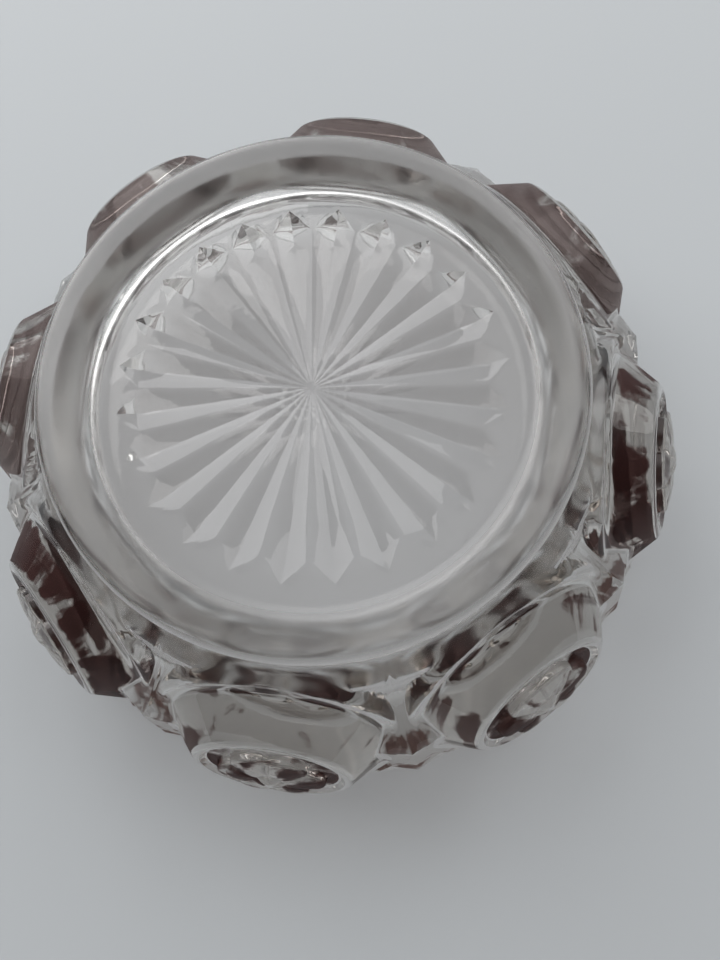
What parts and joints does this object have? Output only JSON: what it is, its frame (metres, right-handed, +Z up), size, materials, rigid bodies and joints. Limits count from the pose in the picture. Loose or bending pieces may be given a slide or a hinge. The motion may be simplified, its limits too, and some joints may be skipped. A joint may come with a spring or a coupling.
{
  "type": "pressed glass bowl",
  "caption": "Round pressed glass bowl with rosette roundels and pointed bosses on its wall, a foot ring and a star base, shown foot up.",
  "frame": {"origin": "centre of the rim plane, which is the bottom of the part as it stands upside down on its rim", "axes": "+Z points up from the rim to the foot ring, along the bowl's axis; the mouth of the bowl faces -Z; a roundel is centred on -Y. Turned over about X by 180 degrees, the bowl stands on its foot as in use"},
  "size_m": [0.2076, 0.2076, 0.078],
  "materials": {
    "glass": "clear pressed glass with a faint grey lilac cast, fire polished",
    "roundel_stain": "fired maroon stain, worn through in patches",
    "point_stain": "fired brown stain, worn"
  },
  "bodies": {
    "root": {"bowl": "glass", "roundel_stain_1": "roundel_stain", "roundel_stain_2": "roundel_stain", "roundel_stain_3": "roundel_stain", "roundel_stain_4": "roundel_stain", "roundel_stain_5": "roundel_stain", "roundel_stain_6": "roundel_stain", "roundel_stain_7": "roundel_stain", "roundel_stain_8": "roundel_stain", "point_stain_1": "point_stain", "point_stain_2": "point_stain", "point_stain_3": "point_stain", "point_stain_4": "point_stain", "point_stain_5": "point_stain", "point_stain_6": "point_stain", "point_stain_7": "point_stain", "point_stain_8": "point_stain"}
  },
  "joints": []
}
